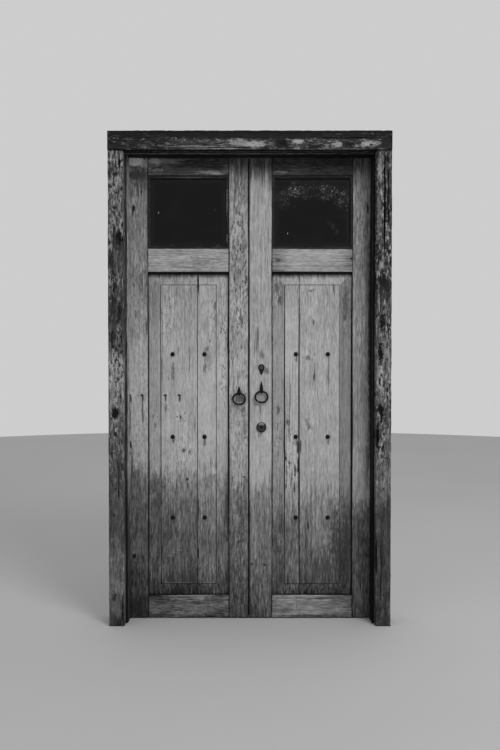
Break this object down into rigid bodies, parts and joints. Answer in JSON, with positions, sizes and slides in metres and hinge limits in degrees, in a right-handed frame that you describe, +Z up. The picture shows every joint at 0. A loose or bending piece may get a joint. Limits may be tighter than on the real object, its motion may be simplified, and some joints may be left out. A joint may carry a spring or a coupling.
{
  "type": "double-leaf panelled door with frame",
  "caption": "Old rectangular street door: glazed and panelled wooden leaves in a rebated frame with a dark surround, ring pulls, rim lock, night latch and bolts.",
  "frame": {"origin": "on the floor, in the middle of the doorway, in the plane of the leaves' outer faces", "axes": "+X to the right seen from the street, -Y out to the street, +Z up"},
  "size_m": [1.258, 0.1865, 2.2],
  "materials": {
    "leaf_paint": "softwood with worn, weathered pale grey paint",
    "surround_wood": "dark weathered wood, worn pale on the edges",
    "frame_wood": "dark weathered wood",
    "batten_wood": "softwood with old pale paint",
    "iron": "forged iron, dark and rusty",
    "bolt_steel": "plain steel, rubbed bright",
    "lock_paint": "pressed steel with black japanned paint",
    "cylinder_brass": "tarnished brass",
    "glass": "dusty clear glass with a dark room behind it"
  },
  "bodies": {
    "frame": {"surround_head": "surround_wood", "surround_post_left": "surround_wood", "surround_post_right": "surround_wood", "surround_nails": "iron", "frame_head": "frame_wood", "frame_post_left": "frame_wood", "frame_post_right": "frame_wood", "top_bolt_keeper": "iron", "frame_hinge_flaps_left": "iron", "frame_hinge_flaps_right": "iron", "hinge_pins_left": "iron", "hinge_pins_right": "iron", "frame_screws": "iron"},
    "left_leaf": {"left_hinge_stile": "leaf_paint", "left_lock_stile": "leaf_paint", "left_top_rail": "leaf_paint", "left_middle_rail": "leaf_paint", "left_bottom_rail": "leaf_paint", "left_inner_board": "leaf_paint", "left_outer_board": "leaf_paint", "left_battens": "batten_wood", "left_panel_nails": "iron", "left_glass_pane": "glass", "left_glazing_beads": "leaf_paint", "left_hinge_flaps": "iron", "left_screws": "iron", "left_ring_plate": "iron", "lock_keeper": "lock_paint", "latch_keeper": "lock_paint", "top_bolt_plate": "iron", "bottom_bolt_plate": "iron"},
    "right_leaf": {"right_hinge_stile": "leaf_paint", "right_lock_stile": "leaf_paint", "right_top_rail": "leaf_paint", "right_middle_rail": "leaf_paint", "right_bottom_rail": "leaf_paint", "right_inner_board": "leaf_paint", "right_outer_board": "leaf_paint", "right_battens": "batten_wood", "right_panel_nails": "iron", "right_glass_pane": "glass", "right_glazing_beads": "leaf_paint", "right_hinge_flaps": "iron", "right_screws": "iron", "right_ring_plate": "iron", "keyhole_rivet": "iron", "lock_case": "lock_paint", "cylinder_collar": "cylinder_brass", "cylinder_body": "cylinder_brass", "latch_case": "lock_paint"},
    "left_ring": {"left_ring_pull": "iron"},
    "right_ring": {"right_ring_pull": "iron"},
    "top_bolt": {"top_bolt": "bolt_steel"},
    "bottom_bolt": {"bottom_bolt": "bolt_steel"},
    "keyhole_cover": {"keyhole_cover": "iron"},
    "lock_bolt": {"lock_bolt": "bolt_steel"},
    "latch_bolt": {"latch_bolt": "bolt_steel"},
    "latch_knob": {"latch_knob": "bolt_steel"},
    "cylinder_plug": {"cylinder_plug": "cylinder_brass"}
  },
  "joints": [
    {"name": "left_leaf_swing", "type": "hinge", "parent": "frame", "child": "left_leaf", "pos_m": [-0.5625, 0.0455, 1.06], "axis": [0, 0, 1], "range_deg": [0, 100]},
    {"name": "right_leaf_swing", "type": "hinge", "parent": "frame", "child": "right_leaf", "pos_m": [0.5625, 0.0455, 1.06], "axis": [0, 0, -1], "range_deg": [0, 100]},
    {"name": "left_ring_swing", "type": "hinge", "parent": "left_leaf", "child": "left_ring", "pos_m": [-0.0493, -0.011, 1.03435], "axis": [-1, 0, 0], "range_deg": [0, 170]},
    {"name": "right_ring_swing", "type": "hinge", "parent": "right_leaf", "child": "right_ring", "pos_m": [0.053, -0.011, 1.04335], "axis": [-1, 0, 0], "range_deg": [0, 170]},
    {"name": "top_bolt_slide", "type": "slide", "parent": "left_leaf", "child": "top_bolt", "axis": [0, 0, 1], "range_m": [0, 0.035]},
    {"name": "bottom_bolt_slide", "type": "slide", "parent": "left_leaf", "child": "bottom_bolt", "axis": [0, 0, -1], "range_m": [0, 0.03]},
    {"name": "keyhole_cover_swing", "type": "hinge", "parent": "right_leaf", "child": "keyhole_cover", "pos_m": [0.053, -0.0015, 1.154], "axis": [0, 1, 0], "range_deg": [-100, 100]},
    {"name": "lock_bolt_slide", "type": "slide", "parent": "right_leaf", "child": "lock_bolt", "axis": [-1, 0, 0], "range_m": [0, 0.018]},
    {"name": "latch_knob_turn", "type": "hinge", "parent": "right_leaf", "child": "latch_knob", "pos_m": [0.053, 0.066, 0.88], "axis": [0, 1, 0], "range_deg": [0, 60]},
    {"name": "latch_bolt_slide", "type": "slide", "parent": "right_leaf", "child": "latch_bolt", "axis": [-1, 0, 0], "range_m": [0, 0.014]},
    {"name": "cylinder_plug_turn", "type": "hinge", "parent": "right_leaf", "child": "cylinder_plug", "pos_m": [0.053, 0, 0.88], "axis": [0, -1, 0], "range_deg": [0, 90]}
  ],
  "couplings": [
    {"joint": "latch_bolt_slide", "follows": "latch_knob_turn", "m_per_rad": 0.013369}
  ]
}
